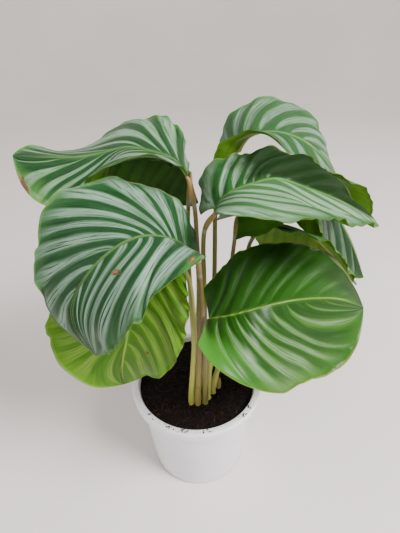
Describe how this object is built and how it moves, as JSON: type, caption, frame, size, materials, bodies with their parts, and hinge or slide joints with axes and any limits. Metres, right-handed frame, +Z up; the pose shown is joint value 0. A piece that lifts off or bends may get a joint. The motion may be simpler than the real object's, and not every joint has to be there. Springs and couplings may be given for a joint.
{
  "type": "potted plant",
  "caption": "Potted calathea: large round silver-striped leaves on slim stalks rising from one crown in dark soil, in a plain white lipped nursery pot.",
  "frame": {"origin": "centre of the pot's flat base, at the level it stands on", "axes": "+Z up along the pot's axis; -Y towards the front, the side that the picture shows; +X to the right seen from the front"},
  "size_m": [0.3164, 0.2247, 0.353],
  "materials": {
    "pot": "satin",
    "soil": "matte",
    "crown": "matte",
    "stalk": "satin",
    "leaf": "satin",
    "young_shoot": "satin"
  },
  "bodies": {
    "root": {"pot": "pot", "soil": "soil", "crown": "crown", "young_shoot": "young_shoot", "stalk_front_left": "stalk", "leaf_front_left": "leaf", "stalk_back_left": "stalk", "leaf_back_left": "leaf", "stalk_low_left": "stalk", "leaf_low_left": "leaf", "stalk_front_right": "stalk", "leaf_front_right": "leaf", "stalk_mid_right": "stalk", "leaf_mid_right": "leaf", "stalk_top_right": "stalk", "leaf_top_right": "leaf", "stalk_rear_low": "stalk", "leaf_rear_low": "leaf", "stalk_rear_right": "stalk", "leaf_rear_right": "leaf", "stalk_rear_left": "stalk", "leaf_rear_left": "leaf"}
  },
  "joints": []
}
